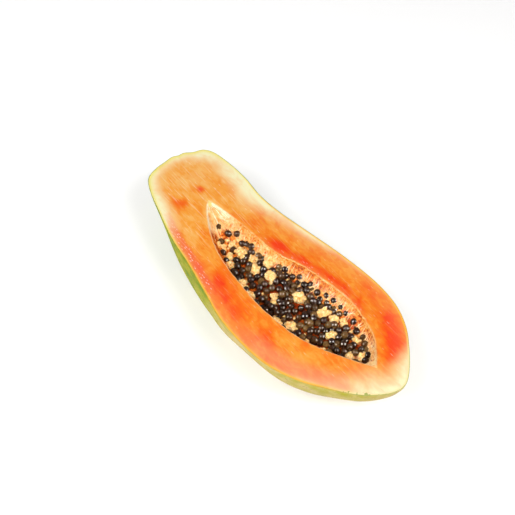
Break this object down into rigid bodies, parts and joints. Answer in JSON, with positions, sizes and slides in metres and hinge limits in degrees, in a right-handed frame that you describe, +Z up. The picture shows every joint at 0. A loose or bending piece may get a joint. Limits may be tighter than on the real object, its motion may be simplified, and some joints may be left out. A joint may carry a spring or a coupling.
{
  "type": "halved papaya",
  "caption": "Half of a ripe papaya cut lengthwise, lying skin down with its seeds showing in the open cavity.",
  "frame": {"origin": "middle of the bounding box, at the height of the flat spot that the fruit rests on", "axes": "+X along the fruit from the stem end to the blossom end, +Y across the cut face, +Z up out of the cut face"},
  "size_m": [0.2648, 0.1146, 0.0517],
  "materials": {
    "flesh": "moist orange flesh with a cream rim under a thin glossy green and yellow skin",
    "seeds": "wet glossy dark brown seeds in stringy cream pith"
  },
  "bodies": {
    "root": {"papaya_half": "flesh", "seed_bed": "seeds"}
  },
  "joints": []
}
